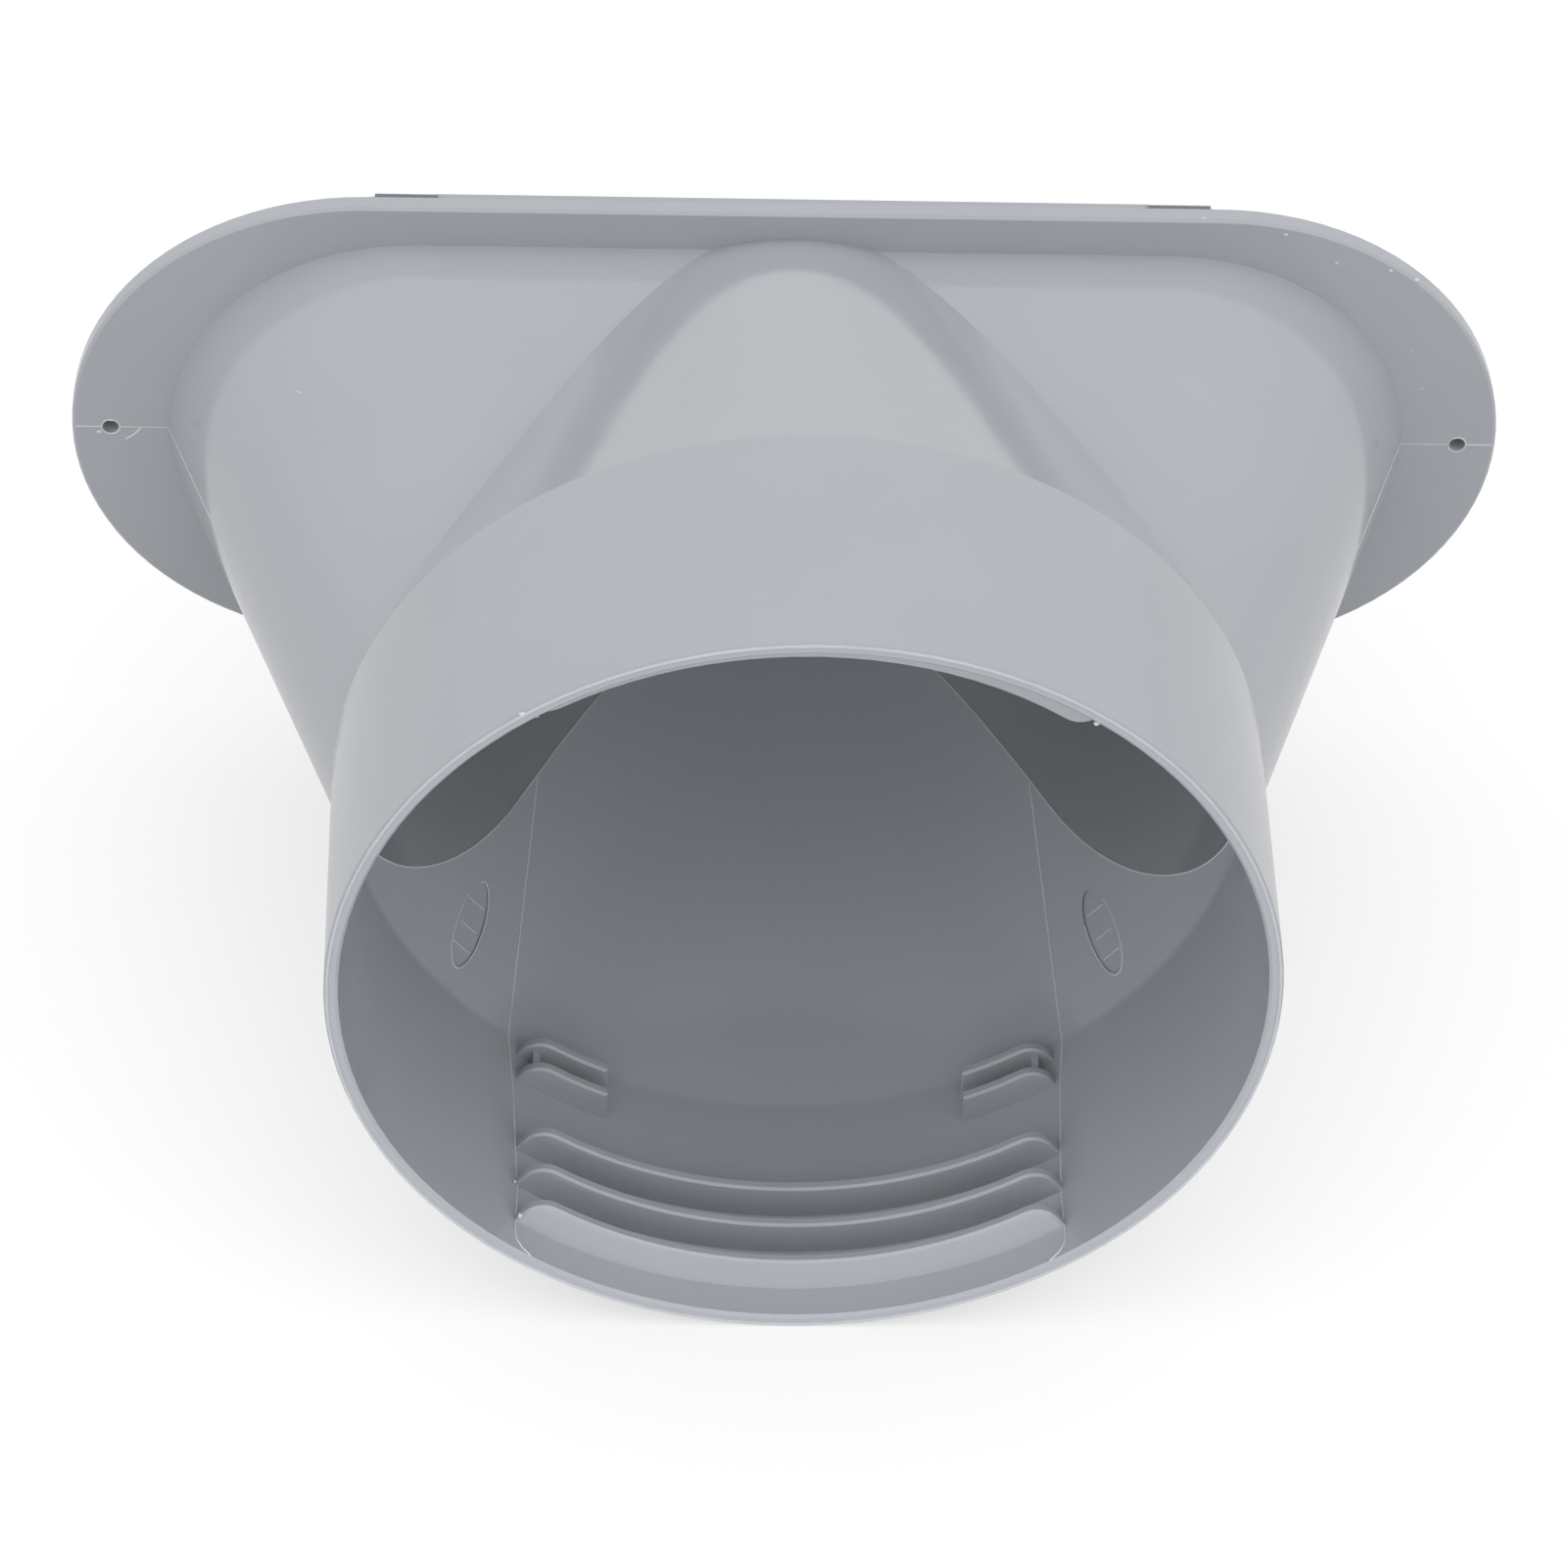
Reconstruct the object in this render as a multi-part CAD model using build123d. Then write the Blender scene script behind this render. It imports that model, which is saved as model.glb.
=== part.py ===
"""Exhaust hose coupler: one plastic moulding that joins a round flexible hose to a flat oval outlet.

The hose axis is Y. The hose screws into the mouth at -Y, and the flange is fastened to a panel at +Y.
The origin is the centre of the flange's back face, X runs along the flange and Z is up.
"""
import os
from math import atan, cos, radians, sin, tan

from build123d import *

# Moulding
wall = 2.3

# Round sleeve for the hose
sleeve_bore = 150.0
sleeve_length = 49.6
mouth_edge_break = 0.5

# Cone that narrows from the sleeve until it stands a little above the flat body at the flange
body_length = 140.9
tongue_rise = 2.4
crease_break_inside = 0.8

# Flat oval body that widens from inside the sleeve to the outlet
outlet_length = 217.0
outlet_height = 83.2
throat_inset = 0.4

# Flange plate, with ends that are drawn out a little beyond half circles
flange_thickness = 3.2
flange_end_width = 16.8
flange_side_width = 7.8
flange_end_stretch = 2.6
flange_edge_break = 0.5

# Screw holes at the two ends of the flange
screw_hole_diameter = 2.8
screw_edge_distance = 6.75

# Spigot behind the flange that goes through the panel, with snap lugs near the ends of its straight sides
spigot_length = 11.0
lug_spacing = 133.8
lug_width = 10.8
lug_height = 2.2
lug_grip = 8.0

# Curved ribs inside the sleeve that the hose screws past
rib_count = 3
rib_first = 7.4
rib_pitch = 8.4
rib_thickness = 2.0
rib_height = 6.6
rib_half_angle = 38.0
rib_end_round = 4.0
rib_edge_break = 0.4

# Pairs of short fins beyond the ribs, where the hose stops
fin_from_crease = 3.2
fin_gap = 5.8
fin_height = 5.3
fin_length = 15.7
web_width = 1.2
web_height = 2.6
web_from_tip = 3.4

# Sizes that follow from the driving ones
bore_radius = sleeve_bore / 2
sleeve_radius = bore_radius + wall
root_radius = bore_radius + wall / 2
outlet_radius = outlet_height / 2
outlet_half_length = outlet_length / 2
flange_half_length = outlet_half_length + flange_end_width
flange_height = outlet_height + 2 * flange_side_width
rib_tip_x = bore_radius * sin(radians(rib_half_angle))

# Places along the hose axis
mating_y = 0.0
front_y = mating_y - flange_thickness
mouth_y = front_y - body_length
crease_y = mouth_y + sleeve_length
spigot_end_y = mating_y + spigot_length

# Slope of the cone
taper_run = front_y - crease_y
cone_angle = atan((sleeve_radius - outlet_radius - tongue_rise) / taper_run)

# Slanted round ends of the flat body, from the throat inside the sleeve to the outlet
throat_half_length = sleeve_radius - throat_inset
end_widening = outlet_half_length - throat_half_length
end_angle = atan(end_widening / taper_run)
outlet_end_x = outlet_half_length - outlet_radius / cos(end_angle)
throat_end_x = throat_half_length - outlet_radius / cos(end_angle)


def section(y):
    """Plane across the hose axis, with its own x along X and its own y along Z."""
    return Plane((0, y, 0), x_dir=(1, 0, 0), z_dir=(0, -1, 0))


def extrude_back(face, depth):
    """Extrude a face that lies across the hose axis toward the panel."""
    return extrude(face, depth, dir=(0, 1, 0))


def oval(half_straight, end_reach, height):
    """Face with straight long sides and half ellipses at its ends."""
    middle = Rectangle(2 * half_straight, height)
    end = Ellipse(end_reach, height / 2)
    return middle + [Pos(x, 0) * end for x in (-half_straight, half_straight)]


# Round sleeve and cone

def round_profile(radius, corner_y, end_y):
    """Half section of the sleeve and cone, from the hose axis out to the given radius."""
    end_radius = radius - tan(cone_angle) * (end_y - corner_y)
    return make_face(Polyline(
        (0, mouth_y), (radius, mouth_y), (radius, corner_y), (end_radius, end_y), (0, end_y), close=True
    ))


def round_outside():
    middle_of_flange_y = (front_y + mating_y) / 2
    return revolve(round_profile(sleeve_radius, crease_y, middle_of_flange_y), Axis.Y)


def round_inside():
    inner_crease_y = crease_y - wall * tan(cone_angle / 2)
    profile = round_profile(bore_radius, inner_crease_y, spigot_end_y)
    crease = profile.vertices().sort_by_distance((bore_radius, inner_crease_y, 0))[0]
    return revolve(chamfer(crease, crease_break_inside), Axis.Y)


# Flat oval body and spigot

def flat_form(inset):
    """Oval of constant height that widens toward the outlet on slanted round ends, then runs on straight."""
    radius = outlet_radius - inset
    middle_outline = Polyline(
        (-throat_end_x, crease_y),
        (throat_end_x, crease_y),
        (outlet_end_x, front_y),
        (-outlet_end_x, front_y),
        close=True,
    )
    body = extrude(make_face(middle_outline), radius, both=True)
    for side in (-1, 1):
        across_end = Plane((side * throat_end_x, crease_y, 0), z_dir=(side * end_widening, taper_run, 0))
        body += extrude(across_end * Circle(radius), 2 * taper_run, both=True)
    body &= extrude_back(section(crease_y) * Rectangle(2 * outlet_length, 2 * outlet_height), taper_run)
    outlet = section(front_y) * oval(outlet_end_x, radius / cos(end_angle), 2 * radius)
    return body + extrude_back(outlet, flange_thickness + spigot_length)


def lugs():
    """Four wedges on the spigot, with their steep sides toward the flange."""
    root_z = outlet_radius - wall / 2
    catch_y = mating_y + lug_grip
    outline = Polyline(
        (catch_y, root_z),
        (catch_y, outlet_radius + lug_height),
        (spigot_end_y, outlet_radius),
        (spigot_end_y, root_z),
        close=True,
    )
    lug = extrude(Plane.YZ * make_face(outline), lug_width / 2, both=True)
    upper = [Pos(x, 0, 0) * lug for x in (-lug_spacing / 2, lug_spacing / 2)]
    return upper + [mirror(wedge, Plane.XY) for wedge in upper]


# Flange

def flange():
    end_reach = flange_height / 2 + flange_end_stretch
    outline = oval(flange_half_length - end_reach, end_reach, flange_height)
    plate = extrude_back(section(front_y) * outline, flange_thickness)
    front_edges = plate.faces().sort_by(Axis.Y)[0].edges()
    return chamfer(front_edges, flange_edge_break)


def screw_holes():
    screw_x = flange_half_length - screw_edge_distance
    hole = extrude_back(section(front_y) * Circle(screw_hole_diameter / 2), flange_thickness)
    return [Pos(x, 0, 0) * hole for x in (-screw_x, screw_x)]


# Ribs and fins inside the sleeve

def rib_outline(height):
    """Curved strip along the bottom of the bore, rooted in the wall and rounded at both tips."""
    crest_radius = bore_radius - height
    side_x = sin(radians(rib_half_angle))
    side_z = -cos(radians(rib_half_angle))
    reach = 2 * sleeve_radius
    wedge = make_face(
        Polyline((0, 0), (reach * side_x, reach * side_z), (-reach * side_x, reach * side_z), close=True)
    )
    strip = (Circle(root_radius) - Circle(crest_radius)) & wedge
    tips = [
        strip.vertices().sort_by_distance((x, crest_radius * side_z, 0))[0]
        for x in (-crest_radius * side_x, crest_radius * side_x)
    ]
    return fillet(tips, rib_end_round)


def rib_plate(outline, y):
    plate = extrude(section(y) * outline, rib_thickness / 2, both=True)
    sides = plate.faces().group_by(Axis.Y)
    return chamfer(sides[0].edges() + sides[-1].edges(), rib_edge_break)


def rib_solids():
    """One set of ribs, fins and webs along the bottom of the bore."""
    rib_face = rib_outline(rib_height)
    rib_ys = [mouth_y + rib_first + rib_pitch * number for number in range(rib_count)]
    solids = [rib_plate(rib_face, y) for y in rib_ys]

    far_fin_y = crease_y - fin_from_crease
    near_fin_y = far_fin_y - fin_gap
    between_fins = Rectangle(2 * (rib_tip_x - fin_length), 2 * sleeve_radius)
    fin_face = rib_outline(fin_height) - between_fins
    solids += [rib_plate(fin_face, y) for y in (near_fin_y, far_fin_y)]

    web_x = rib_tip_x - web_from_tip
    web_band = Circle(root_radius) - Circle(bore_radius - web_height)
    for x in (-web_x, web_x):
        web_face = web_band & (Pos(x, -bore_radius) * Rectangle(web_width, sleeve_bore))
        solids.append(extrude_back(section(near_fin_y) * web_face, fin_gap))
    return solids


# The whole moulding

def coupler_body():
    shell = round_outside() + flat_form(0) + flange()
    shell -= round_inside() + flat_form(wall)
    mouth_edges = shell.edges().filter_by(GeomType.CIRCLE).group_by(Axis.Y)[0]
    shell = chamfer(mouth_edges, mouth_edge_break)
    lower_ribs = rib_solids()
    upper_ribs = [mirror(solid, Plane.XY) for solid in lower_ribs]
    return shell + lugs() + lower_ribs + upper_ribs - screw_holes()


os.makedirs("parts", exist_ok=True)
export_step(coupler_body(), "parts/coupler_body.step")
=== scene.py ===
"""Looks for the exhaust hose coupler: one grey plastic moulding on a white table."""
from math import hypot, radians, sqrt

import bpy
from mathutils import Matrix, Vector


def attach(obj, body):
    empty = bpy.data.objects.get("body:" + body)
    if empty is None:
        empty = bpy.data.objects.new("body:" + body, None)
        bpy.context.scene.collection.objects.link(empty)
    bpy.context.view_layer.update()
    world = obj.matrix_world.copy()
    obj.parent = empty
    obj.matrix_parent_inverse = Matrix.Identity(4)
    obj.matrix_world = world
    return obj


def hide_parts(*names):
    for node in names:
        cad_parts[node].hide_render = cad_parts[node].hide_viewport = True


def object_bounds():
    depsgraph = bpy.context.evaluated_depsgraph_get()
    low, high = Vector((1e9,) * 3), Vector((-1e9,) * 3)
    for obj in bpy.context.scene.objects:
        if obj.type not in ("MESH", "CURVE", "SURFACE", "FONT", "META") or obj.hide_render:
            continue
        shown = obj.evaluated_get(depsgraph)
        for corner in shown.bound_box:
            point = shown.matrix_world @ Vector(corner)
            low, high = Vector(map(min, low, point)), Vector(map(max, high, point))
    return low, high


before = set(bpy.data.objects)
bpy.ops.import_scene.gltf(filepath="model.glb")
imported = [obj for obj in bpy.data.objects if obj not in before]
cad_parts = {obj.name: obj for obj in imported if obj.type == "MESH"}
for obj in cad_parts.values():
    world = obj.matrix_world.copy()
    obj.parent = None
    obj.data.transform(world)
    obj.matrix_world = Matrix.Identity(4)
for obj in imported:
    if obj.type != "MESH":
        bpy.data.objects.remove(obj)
cad_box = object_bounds()


# Coupler body. One injection moulding in grey ABS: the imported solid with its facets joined, so that round
# walls shade round. The first rib under the mouth's top edge runs out lower to the left, as a thread's
# lead-in does, and two round core pins have left shallow sunk discs on the slope of the cone.
mm = 0.001
join_distance = 0.01 * mm
clear_of_wall = 0.1 * mm
seam_angle = radians(11)
bore_radius = 75.0 * mm
inner_crease_y = -94.91 * mm
cone_slope = 0.3647
mouth_y = -144.1 * mm
rib_back_y = mouth_y + 9.0 * mm
rib_height = 6.6 * mm
lead_in_start_x = 30 * mm
lead_in_end_x = -46 * mm
lead_in_drop = 1.7 * mm
pin_x = 54.4 * mm
pin_z = -44.3 * mm
pin_radius = 3.1 * mm
pin_sunk = 0.8 * mm
pin_reach = 30 * mm
pin_sides = 48


def wall_radius(y):
    """Radius of the inner wall: the straight sleeve, then the cone."""
    return bore_radius - cone_slope * max(0.0, y - inner_crease_y)


def cone_y(x, z):
    """How far back the inside of the cone lies, straight behind a place in the mouth."""
    return inner_crease_y + (bore_radius - hypot(x, z)) / cone_slope


bpy.ops.object.select_all(action="DESELECT")
body = bpy.data.objects.new("moulded_body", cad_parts["coupler_body"].data.copy())
bpy.context.collection.objects.link(body)
body.select_set(True)
bpy.context.view_layer.objects.active = body
bpy.ops.mesh.customdata_custom_splitnormals_clear()
bpy.ops.object.mode_set(mode="EDIT")
bpy.ops.mesh.select_all(action="SELECT")
bpy.ops.mesh.remove_doubles(threshold=join_distance)
bpy.ops.object.mode_set(mode="OBJECT")
for vertex in body.data.vertices:
    x, y, z = vertex.co
    radius = hypot(x, z)
    is_first_upper_rib = y < rib_back_y and z > 0 and radius < bore_radius - clear_of_wall
    if is_first_upper_rib and x < lead_in_start_x:
        share_along = (lead_in_start_x - x) / (lead_in_start_x - lead_in_end_x)
        share_up = (bore_radius - radius) / rib_height
        lower = 1 + lead_in_drop * share_along ** 3 * share_up / radius
        vertex.co = (x * lower, y, z * lower)

pin_y = cone_y(pin_x, pin_z)
for side in (-1, 1):
    bpy.ops.object.select_all(action="DESELECT")
    bpy.ops.mesh.primitive_cylinder_add(
        vertices=pin_sides,
        radius=pin_radius,
        depth=pin_reach,
        location=(side * pin_x, pin_y, pin_z),
        rotation=(radians(90), 0, 0),
    )
    pin = bpy.context.active_object
    bpy.ops.object.transform_apply(location=True, rotation=True)
    for vertex in pin.data.vertices:
        if vertex.co.y > pin_y:
            vertex.co.y = cone_y(vertex.co.x, vertex.co.z) + pin_sunk
    bpy.ops.object.select_all(action="DESELECT")
    body.select_set(True)
    bpy.context.view_layer.objects.active = body
    sunk_disc = body.modifiers.new("sunk_disc", "BOOLEAN")
    sunk_disc.operation = "DIFFERENCE"
    sunk_disc.object = pin
    bpy.ops.object.modifier_apply(modifier=sunk_disc.name)
    bpy.data.objects.remove(pin)

bpy.ops.object.shade_smooth_by_angle(angle=seam_angle)
even_shading = body.modifiers.new("even_shading", "WEIGHTED_NORMAL")
even_shading.keep_sharp = True
bpy.ops.object.modifier_apply(modifier=even_shading.name)


def linear(hex_colour):
    """sRGB hex to the linear colour that a shader socket takes."""
    parts = [int(hex_colour[i:i + 2], 16) / 255 for i in (1, 3, 5)]
    return [c / 12.92 if c <= 0.04045 else ((c + 0.055) / 1.055) ** 2.4 for c in parts] + [1.0]


def add_node(tree, kind, settings, links):
    """Add one node. Settings are its properties or input values, and links feed its inputs."""
    node = tree.nodes.new(kind)
    for name, value in settings.items():
        if isinstance(name, int) or name in node.inputs:
            node.inputs[name].default_value = value
        else:
            setattr(node, name, value)
    for name, source in links.items():
        tree.links.new(source, node.inputs[name])
    return node


# Typical index of refraction of ABS, and a ripple that a polished tool leaves.
abs_ior = 1.53
ripple_size = 2.5 * mm
ripple_depth = 0.01 * mm
ripple_strength = 0.15


def make_plastic(name, dark, light, cloud_size, smooth, rough):
    """Make a moulded plastic: two close tints in clouds, a sheen that follows them and a shallow ripple."""
    material = bpy.data.materials.new(name)
    material.use_nodes = True
    tree = material.node_tree
    tree.nodes.clear()
    place = add_node(tree, "ShaderNodeTexCoord", {}, {}).outputs["Object"]
    clouds = add_node(tree, "ShaderNodeTexNoise", {"Scale": 1 / cloud_size, "Detail": 3.0}, {"Vector": place})
    waves = {"Scale": 1 / ripple_size, "Detail": 2.0}
    ripple = add_node(tree, "ShaderNodeTexNoise", waves, {"Vector": place})
    cloud_share = clouds.outputs["Fac"]
    colours = {"Color1": linear(dark), "Color2": linear(light)}
    tint = add_node(tree, "ShaderNodeMixRGB", colours, {"Fac": cloud_share})
    sheen = add_node(tree, "ShaderNodeMapRange", {"To Min": smooth, "To Max": rough}, {"Value": cloud_share})
    depth = {"Strength": ripple_strength, "Distance": ripple_depth}
    relief = add_node(tree, "ShaderNodeBump", depth, {"Height": ripple.outputs["Fac"]})
    plastic = add_node(
        tree,
        "ShaderNodeBsdfPrincipled",
        {"IOR": abs_ior},
        {
            "Base Color": tint.outputs["Color"],
            "Roughness": sheen.outputs["Result"],
            "Normal": relief.outputs["Normal"],
        },
    )
    add_node(tree, "ShaderNodeOutputMaterial", {}, {"Surface": plastic.outputs["BSDF"]})
    return material


def dress(piece, material):
    """Give a piece of the moulding its finish, and let it ride with the body."""
    piece.data.materials.clear()
    piece.data.materials.append(material)
    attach(piece, "root")


# Moulded ABS, glossy from a polished tool. The eye gets an even cool grey that mirrors the flange faintly
# at its root, a cloudiness some centimetres across, and a very shallow ripple in the reflections.
abs_plastic = make_plastic("moulded_grey_abs", "#A8ABB1", "#ADB0B6", 26 * mm, 0.1, 0.14)

dress(body, abs_plastic)
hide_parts("coupler_body")


# Shut-off flash. Where the cores and pins of the mould meet, along the edge at which the cone opens into the
# flat body and round the pin marks, a hair of plastic has squeezed out.
# The body's own edge is taken out and given a thin round section, in the pale flash tint, a painted
# highlight.
shut_off_radius = 0.12 * mm
clear_of_crease = 2 * mm
near_wall = 0.12 * mm
edge_angle = radians(8)
line_seam_angle = radians(50)

# Flash is the same plastic, a hair thick. Its pale tint is a painted highlight: the eye gets fine lines that
# are paler than the wall they stand on, as if they caught the light, and change a little along their length.
flash_highlight_plastic = make_plastic("flash_with_painted_highlight", "#C2C5CA", "#E2E4E8", 4 * mm, 0.3, 0.4)


def on_cone(point):
    """True on the inside of the cone, beyond the crease where the sleeve ends."""
    off_wall = abs(hypot(point.x, point.z) - wall_radius(point.y))
    return point.y > inner_crease_y + clear_of_crease and off_wall < near_wall


def round_line(line, radius, material):
    """Give a drawn line a thin round section, so that it stands half out of the wall it lies on."""
    bpy.ops.object.convert(target="CURVE")
    line.data.bevel_depth = radius
    line.data.bevel_resolution = 2
    line.data.use_fill_caps = True
    bpy.ops.object.convert(target="MESH")
    bpy.ops.object.mode_set(mode="EDIT")
    bpy.ops.mesh.select_all(action="SELECT")
    bpy.ops.mesh.normals_make_consistent(inside=False)
    bpy.ops.object.mode_set(mode="OBJECT")
    bpy.ops.object.shade_smooth_by_angle(angle=line_seam_angle)
    dress(line, material)


def edge_line(name, is_wanted, radius, material):
    """Take the body's sharp edges that lie at a wanted place, and give them a thin round section."""
    bpy.ops.object.select_all(action="DESELECT")
    line = bpy.data.objects.new(name, body.data.copy())
    bpy.context.collection.objects.link(line)
    line.select_set(True)
    bpy.context.view_layer.objects.active = line
    bpy.ops.object.mode_set(mode="EDIT")
    bpy.ops.mesh.select_mode(type="EDGE")
    bpy.ops.mesh.select_all(action="DESELECT")
    bpy.ops.mesh.edges_select_sharp(sharpness=edge_angle)
    bpy.ops.object.mode_set(mode="OBJECT")
    for face in line.data.polygons:
        face.select = False
    points = line.data.vertices
    for edge in line.data.edges:
        edge.select = edge.select and all(is_wanted(points[i].co) for i in edge.vertices)
    bpy.ops.object.mode_set(mode="EDIT")
    bpy.ops.mesh.select_all(action="INVERT")
    bpy.ops.mesh.delete(type="EDGE_FACE")
    bpy.ops.object.mode_set(mode="OBJECT")
    round_line(line, radius, material)


edge_line("shut_off_flash", on_cone, shut_off_radius, flash_highlight_plastic)


# Mouth edge. The outer edge of the mouth's end face is rounded over a little, with a paler tint that is a
# painted highlight.
# It is the same moulding: the body's own edge again, with a thin round section.
mouth_edge_radius = 0.28 * mm
sleeve_radius = 77.3 * mm
end_face_depth = 0.1 * mm
outer_edge_width = 1 * mm

# Painted highlight along the rim's rounded edge. The eye gets a soft line, a little paler and duller than the
# wall, all round the rim.
mouth_edge_highlight_plastic = make_plastic("abs_with_painted_highlight", "#B2B5BB", "#C4C7CC", 9 * mm, 0.2, 0.3)


def on_mouth_edge(point):
    """True on the outer edge of the mouth's end face."""
    is_on_end_face = point.y < mouth_y + end_face_depth
    return is_on_end_face and hypot(point.x, point.z) > sleeve_radius - outer_edge_width


edge_line("mouth_edge", on_mouth_edge, mouth_edge_radius, mouth_edge_highlight_plastic)


# Parting line. A hair of plastic stands where the two halves of the mould close, halfway up both sides.
# It crosses the flange's ends through the screw holes and fades out along the flat body.
# On the left a sliver of it has torn off and bent down beside the screw hole.
outer_line_radius = 0.12 * mm
inner_line_radius = 0.085 * mm
sliver_radius = 0.17 * mm
front_y = -3.2 * mm
flange_end = Vector((124.7 * mm, front_y, 0))
hole_centre = Vector((118.55 * mm, front_y, 0))
hole_rim = Vector((1.7 * mm, 0, 0))
flange_root = Vector((108.5 * mm, front_y, 0))
line_end = Vector((96.5 * mm, -37.9 * mm, 0))
sliver_points = [Vector((x * mm, front_y, z * mm)) for x, z in ((-116, -2.8), (-114.4, -1.6), (-113.2, -0.2))]


def draw_line(name, points, radius):
    """Draw a line through points, one after the other, and give it a thin round section."""
    bpy.ops.object.select_all(action="DESELECT")
    bpy.ops.mesh.primitive_plane_add(size=1 * mm, location=points[0])
    line = bpy.context.active_object
    line.name = name
    bpy.ops.object.transform_apply(location=True)
    bpy.ops.object.mode_set(mode="EDIT")
    bpy.ops.mesh.select_mode(type="VERT")
    bpy.ops.mesh.select_all(action="SELECT")
    bpy.ops.mesh.merge(type="CENTER")
    for here, there in zip(points, points[1:]):
        bpy.ops.mesh.extrude_vertices_move(TRANSFORM_OT_translate={"value": there - here})
    bpy.ops.object.mode_set(mode="OBJECT")
    # The line takes the pale flash tint, a painted highlight.
    round_line(line, radius, flash_highlight_plastic)
    return line


def mirrored_copy(piece, name, scale):
    """Copy a piece to another side of the moulding, with a mesh of its own."""
    bpy.ops.object.select_all(action="DESELECT")
    twin = bpy.data.objects.new(name, piece.data.copy())
    bpy.context.collection.objects.link(twin)
    twin.select_set(True)
    bpy.context.view_layer.objects.active = twin
    twin.scale = scale
    bpy.ops.object.transform_apply(scale=True)
    bpy.ops.object.mode_set(mode="EDIT")
    bpy.ops.mesh.select_all(action="SELECT")
    bpy.ops.mesh.normals_make_consistent(inside=False)
    bpy.ops.object.mode_set(mode="OBJECT")
    # The copy takes the pale flash tint, a painted highlight.
    dress(twin, flash_highlight_plastic)


inner_run = [hole_centre - hole_rim, flange_root, line_end]
outer_line = draw_line("parting_line_outer_right", [flange_end, hole_centre + hole_rim], outer_line_radius)
inner_line = draw_line("parting_line_inner_right", inner_run, inner_line_radius)
mirrored_copy(outer_line, "parting_line_outer_left", (-1, 1, 1))
mirrored_copy(inner_line, "parting_line_inner_left", (-1, 1, 1))
draw_line("flash_sliver", sliver_points, sliver_radius)


# Burrs round the screw holes. The pins that form the holes leave a low raised lip on the flange's face.
# Each is one ring of flash, flattened against the face, in the pale flash tint, a painted highlight.
burr_radius = 1.6 * mm
burr_thickness = 0.13 * mm
burr_flatness = 0.8

bpy.ops.object.select_all(action="DESELECT")
bpy.ops.mesh.primitive_torus_add(
    major_radius=burr_radius,
    minor_radius=burr_thickness,
    major_segments=48,
    minor_segments=10,
    location=hole_centre,
    rotation=(radians(90), 0, 0),
)
burr = bpy.context.active_object
burr.name = "screw_hole_burr_right"
bpy.ops.object.transform_apply(location=True, rotation=True)
bpy.ops.object.mode_set(mode="EDIT")
bpy.ops.mesh.select_all(action="SELECT")
bpy.ops.transform.resize(value=(1, burr_flatness, 1), center_override=hole_centre)
bpy.ops.object.mode_set(mode="OBJECT")
bpy.ops.object.shade_smooth()
dress(burr, flash_highlight_plastic)
mirrored_copy(burr, "screw_hole_burr_left", (-1, 1, 1))


# Insert lines. The ribs are formed by an insert in the core, whose two sides leave a fine raised line along
# the sleeve and cone. Near the mouth the line turns in on a rounded corner.
insert_line_radius = 0.14 * mm
line_lift = 0.08 * mm
insert_corner = ((43.4, -143.6), (44.9, -142.7), (45.8, -141.5), (46.1, -140.0))
insert_run = ((45.8, -130.5), (46.8, -106.0), (47.65, -94.91))
insert_end = (43.05, -49.6)
insert_steps = 6


def wall_point(x, y):
    """Point a hair off the lower inner wall."""
    return Vector((x, y, -sqrt((wall_radius(y) - line_lift) ** 2 - x ** 2)))


def along_wall(stations, steps):
    """Points along the wall through stations given in mm, with a few steps from each to the next."""
    points = [wall_point(stations[0][0] * mm, stations[0][1] * mm)]
    for (x0, y0), (x1, y1) in zip(stations, stations[1:]):
        for step in range(1, steps + 1):
            share = step / steps
            points.append(wall_point((x0 + (x1 - x0) * share) * mm, (y0 + (y1 - y0) * share) * mm))
    return points


insert_points = along_wall((*insert_corner, *insert_run, insert_end), insert_steps)
insert_line = draw_line("insert_line_lower_right", insert_points, insert_line_radius)
mirrored_copy(insert_line, "insert_line_lower_left", (-1, 1, 1))
mirrored_copy(insert_line, "insert_line_upper_right", (1, 1, -1))
mirrored_copy(insert_line, "insert_line_upper_left", (-1, 1, -1))


# Tool marks. The end of each core pin was left as it was turned, and prints three short lines across the
# sunk disc that it made.
tool_mark_ys = (-86.1 * mm, -82.15 * mm, -77.45 * mm)
tool_mark_half = 2.0 * mm
tool_mark_radius = 0.08 * mm
disc_floor = 0.2 * mm

for number, mark_y in enumerate(tool_mark_ys, 1):
    outward = Vector((pin_x, 0, pin_z)).normalized()
    across = Vector((-outward.z, 0, outward.x))
    middle = (wall_radius(mark_y) + disc_floor) * outward + Vector((0, mark_y, 0))
    mark_ends = [middle - tool_mark_half * across, middle + tool_mark_half * across]
    tool_mark = draw_line(f"tool_mark_right_{number}", mark_ends, tool_mark_radius)
    mirrored_copy(tool_mark, f"tool_mark_left_{number}", (-1, 1, 1))
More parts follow.
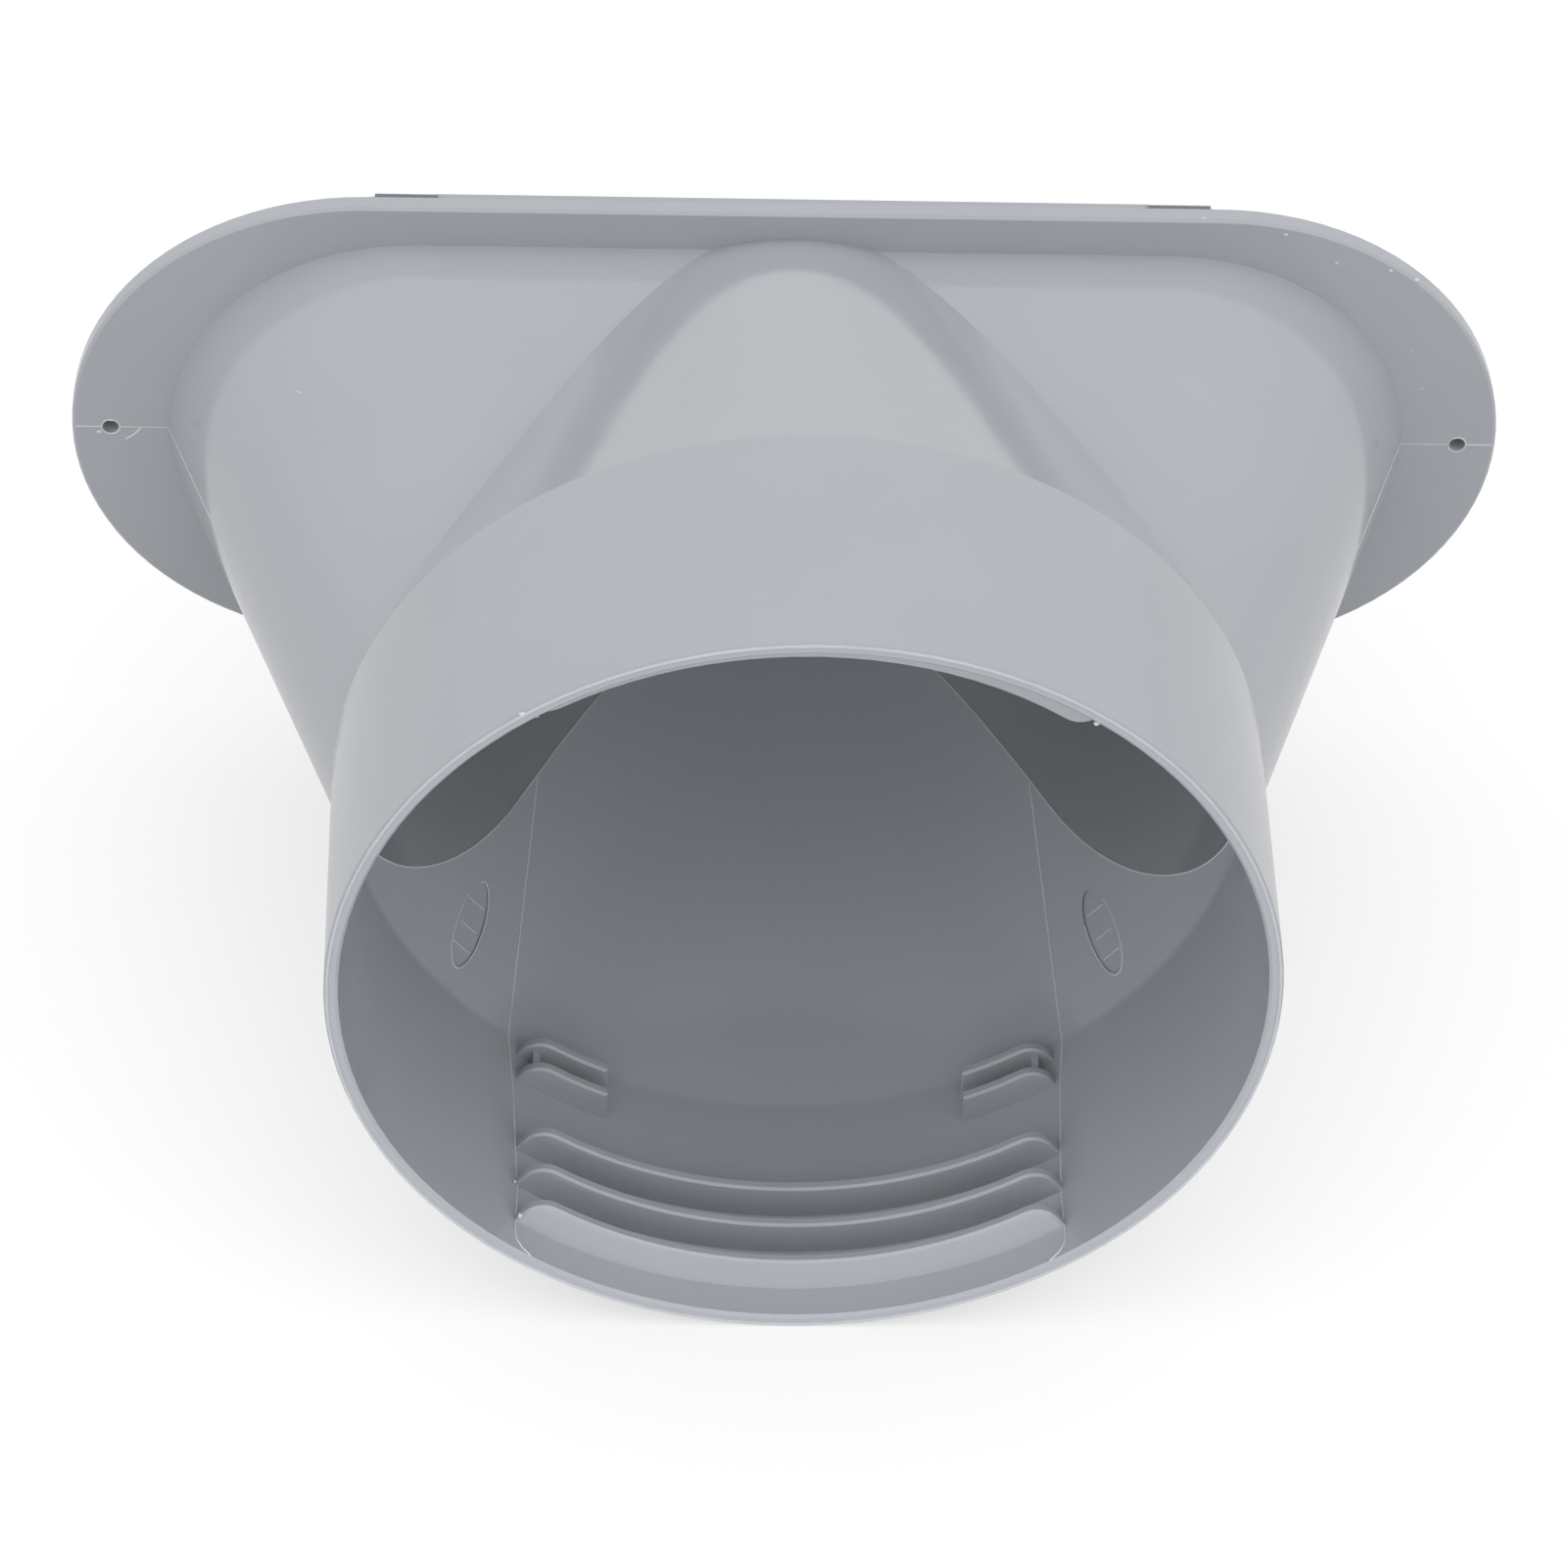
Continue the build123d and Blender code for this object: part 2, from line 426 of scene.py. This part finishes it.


# Chips and specks. The flange's front has a few pale knocks along its upper right edge and one by the left
# screw hole, the mouth and two ribs have burrs where the insert ends, and the left shoulder has a scratch.
# Each is a small crumb of plastic pressed into the face, in the pale flash tint, a painted highlight.
crumbs = {
    "edge_chip_top": ((70.1, -2.4, 49.2), (0.5, 0.3, 0.25)),
    "edge_chip_right": ((107.8, -2.9, 36.8), (0.5, 0.3, 0.4)),
    "speck_double": ((84.3, -3.2, 46.6), (0.42, 0.16, 0.3)),
    "speck_middle": ((93.6, -3.2, 40.5), (0.32, 0.14, 0.28)),
    "speck_bright": ((103.1, -3.2, 39.0), (0.42, 0.25, 0.4)),
    "speck_low": ((108.7, -3.2, 21.3), (0.18, 0.09, 0.18)),
    "speck_lowest": ((111.1, -3.2, 12.7), (0.18, 0.09, 0.18)),
    "mouth_burr_right": ((43.2, -143.6, 61.0), (0.5, 0.4, 0.35)),
    "mouth_burr_left": ((-45.7, -144.0, 61.9), (0.8, 0.3, 0.3)),
    "rib_burr_first": ((-45.3, -137.4, -58.0), (0.4, 0.3, 0.6)),
    "rib_burr_second": ((-46.2, -129.0, -58.6), (0.3, 0.3, 0.4)),
    "nick_left": ((-120.6, -3.2, -1.2), (0.5, 0.2, 0.3)),
}
roughness_of_chip = 0.04 * mm
scratch_radius = 0.12 * mm
scratch_points = [Vector(point) * mm for point in ((-84.70, -29.93, 30.88), (-83.66, -31.08, 31.43))]

for number, (name, (place, size)) in enumerate(crumbs.items()):
    bpy.ops.object.select_all(action="DESELECT")
    bpy.ops.mesh.primitive_ico_sphere_add(subdivisions=2, radius=1, location=Vector(place) * mm)
    crumb = bpy.context.active_object
    crumb.name = name
    crumb.scale = Vector(size) * mm
    bpy.ops.object.transform_apply(location=True, scale=True)
    bpy.ops.object.mode_set(mode="EDIT")
    bpy.ops.mesh.select_all(action="SELECT")
    bpy.ops.transform.vertex_random(offset=roughness_of_chip, seed=number)
    bpy.ops.object.mode_set(mode="OBJECT")
    bpy.ops.object.shade_smooth()
    dress(crumb, flash_highlight_plastic)
draw_line("shoulder_scratch", scratch_points, scratch_radius)


# Table. A wide sheet of card under the sleeve, which is where the fitting touches it.
# The camera sees it as plain white paper, and it keeps the soft shadow under the sleeve.
table_half = 4.0
table_z = cad_box[0].z
camera_glow = 0.56
mirror_glow = 0.36

bpy.ops.object.select_all(action="DESELECT")
bpy.ops.mesh.primitive_plane_add(size=2 * table_half, location=(0, 0, table_z))
table = bpy.context.active_object
table.name = "table"
bpy.ops.object.transform_apply(location=True)

# Grey card that glows white to the camera. The eye gets clean paper without its light flooding the object.
card = bpy.data.materials.new("white_card")
card.use_nodes = True
tree = card.node_tree
tree.nodes.clear()
path = add_node(tree, "ShaderNodeLightPath", {}, {}).outputs
paper = add_node(tree, "ShaderNodeBsdfDiffuse", {"Color": linear("#B8B8B8")}, {})
either = {"operation": "MAXIMUM"}
mirror_rays = {0: path["Is Glossy Ray"], 1: path["Is Transmission Ray"]}
mirrored = add_node(tree, "ShaderNodeMath", either, mirror_rays)
dimmed = {"operation": "MULTIPLY", 1: mirror_glow}
mirrored_glow = add_node(tree, "ShaderNodeMath", dimmed, {0: mirrored.outputs[0]})
glow_level = add_node(
    tree,
    "ShaderNodeMath",
    {"operation": "MULTIPLY_ADD", 1: camera_glow},
    {0: path["Is Camera Ray"], 2: mirrored_glow.outputs[0]},
)
glow = add_node(tree, "ShaderNodeEmission", {}, {"Strength": glow_level.outputs[0]})
both = add_node(tree, "ShaderNodeAddShader", {}, {0: paper.outputs[0], 1: glow.outputs[0]})
add_node(tree, "ShaderNodeOutputMaterial", {}, {"Surface": both.outputs[0]})
table.data.materials.append(card)


# Flag. An oval white card inside the spigot keeps light out of the duct, as the surface did that the fitting
# stood on for the photograph. The camera looks through it, so that the outlet stays open to view.
flag_length = 211 * mm
flag_height = 77.6 * mm
flag_y = 4 * mm
flag_end_flat = 0.2 * mm

bpy.ops.object.select_all(action="DESELECT")
bpy.ops.mesh.primitive_plane_add(size=1, location=(0, flag_y, 0), rotation=(radians(90), 0, 0))
flag = bpy.context.active_object
flag.name = "flag"
flag.scale = (flag_length, flag_height, 1)
bpy.ops.object.transform_apply(location=True, rotation=True, scale=True)
bpy.ops.object.mode_set(mode="EDIT")
bpy.ops.mesh.select_all(action="SELECT")
bpy.ops.mesh.bevel(offset=flag_height / 2 - flag_end_flat, segments=12, affect="VERTICES")
bpy.ops.object.mode_set(mode="OBJECT")

# White card that only light sees. It closes the duct to light, and the eye gets nothing of it.
flag_card = bpy.data.materials.new("flag_card")
flag_card.use_nodes = True
tree = flag_card.node_tree
tree.nodes.clear()
path = add_node(tree, "ShaderNodeLightPath", {}, {}).outputs
paper = add_node(tree, "ShaderNodeBsdfDiffuse", {"Color": linear("#E0E0E0")}, {})
clear = add_node(tree, "ShaderNodeBsdfTransparent", {}, {})
choice = add_node(
    tree, "ShaderNodeMixShader", {}, {"Fac": path["Is Camera Ray"], 1: paper.outputs[0], 2: clear.outputs[0]}
)
add_node(tree, "ShaderNodeOutputMaterial", {}, {"Surface": choice.outputs[0]})
flag.data.materials.append(flag_card)


# Hole flags. A small round card at the back of each screw hole keeps light from coming through it, since the
# flange stood close over the surface in the photograph. They are of the same card as the flag.
hole_flag_radius = 1.45 * mm
hole_flag_y = 0.02 * mm

for side in (-1, 1):
    bpy.ops.object.select_all(action="DESELECT")
    bpy.ops.mesh.primitive_circle_add(
        vertices=24,
        radius=hole_flag_radius,
        fill_type="NGON",
        location=(side * hole_centre.x, hole_flag_y, 0),
        rotation=(radians(90), 0, 0),
    )
    hole_flag = bpy.context.active_object
    hole_flag.name = "hole_flag"
    bpy.ops.object.transform_apply(location=True, rotation=True)
    hole_flag.data.materials.append(flag_card)


# Fill. A long low lamp that lies in front of the mouth, and lifts the rim and the nearest ribs.
# It is near and low, so little of its light reaches the flange or the floor of the duct.
fill_place = (0, -0.42, -0.065)
fill_length = 0.2
fill_height = 0.015
fill_power = 0.26

bpy.ops.object.light_add(type="AREA", location=fill_place, rotation=(radians(90), 0, 0))
fill = bpy.context.active_object
fill.name = "fill"
fill.data.shape = "RECTANGLE"
fill.data.size = fill_length
fill.data.size_y = fill_height
fill.data.energy = fill_power
fill.visible_camera = False
fill.visible_glossy = False


# Studio. A white tent all round, brightest above and in front of the mouth and darkest low down behind, with
# a dim gap straight ahead of the mouth. The camera and mirror reflections see it plain white on every side.
bright_side = (0, -0.87, 0.5)
bright_level = 1.49
dark_level = 0.33
gap_edge = 0.5
gap_level = 0.45

world = bpy.data.worlds.new("white_tent")
bpy.context.scene.world = world
world.use_nodes = True
tree = world.node_tree
tree.nodes.clear()
direction = add_node(tree, "ShaderNodeTexCoord", {}, {}).outputs["Generated"]
toward = {"operation": "DOT_PRODUCT", 1: bright_side}
facing = add_node(tree, "ShaderNodeVectorMath", toward, {0: direction})
level = add_node(
    tree,
    "ShaderNodeMapRange",
    {"interpolation_type": "SMOOTHSTEP", "From Min": -1, "To Min": dark_level, "To Max": bright_level},
    {"Value": facing.outputs["Value"]},
)
ahead = add_node(tree, "ShaderNodeVectorMath", {"operation": "DOT_PRODUCT", 1: (0, -1, 0)}, {0: direction})
gap = add_node(
    tree,
    "ShaderNodeMapRange",
    {"interpolation_type": "SMOOTHSTEP", "From Min": gap_edge, "To Min": 1.0, "To Max": gap_level},
    {"Value": ahead.outputs["Value"]},
)
strength = add_node(
    tree, "ShaderNodeMath", {"operation": "MULTIPLY"}, {0: level.outputs["Result"], 1: gap.outputs["Result"]}
)
path = add_node(tree, "ShaderNodeLightPath", {}, {}).outputs
mirror_rays = {0: path["Is Glossy Ray"], 1: path["Is Transmission Ray"]}
mirrored = add_node(tree, "ShaderNodeMath", either, mirror_rays)
seen_rays = {0: path["Is Camera Ray"], 1: mirrored.outputs[0]}
seen = add_node(tree, "ShaderNodeMath", either, seen_rays)
white = {"Color": linear("#FFFFFF")}
tent = add_node(tree, "ShaderNodeBackground", white, {"Strength": strength.outputs[0]})
seen_tent = add_node(tree, "ShaderNodeBackground", {**white, "Strength": 1.0}, {})
sides = {"Fac": seen.outputs[0], 1: tent.outputs[0], 2: seen_tent.outputs[0]}
choice = add_node(tree, "ShaderNodeMixShader", {}, sides)
add_node(tree, "ShaderNodeOutputWorld", {}, {"Surface": choice.outputs[0]})


# Camera. A long lens about 1.2 m away, in front of the mouth and above it, as the photograph was taken.
# Its place and turn were fitted to the photograph's outlines.
sensor_width_mm = 36
lens_mm = 157.52
camera_place = (-0.0459, -0.9264, 0.7793)
camera_turn = (radians(46.930), radians(-1.976), radians(-1.154))

camera_data = bpy.data.cameras.new("camera")
camera_data.sensor_width = sensor_width_mm
camera_data.lens = lens_mm
camera = bpy.data.objects.new("camera", camera_data)
camera.location = camera_place
camera.rotation_euler = camera_turn
bpy.context.collection.objects.link(camera)
bpy.context.scene.camera = camera
bpy.context.scene.view_settings.view_transform = "Standard"
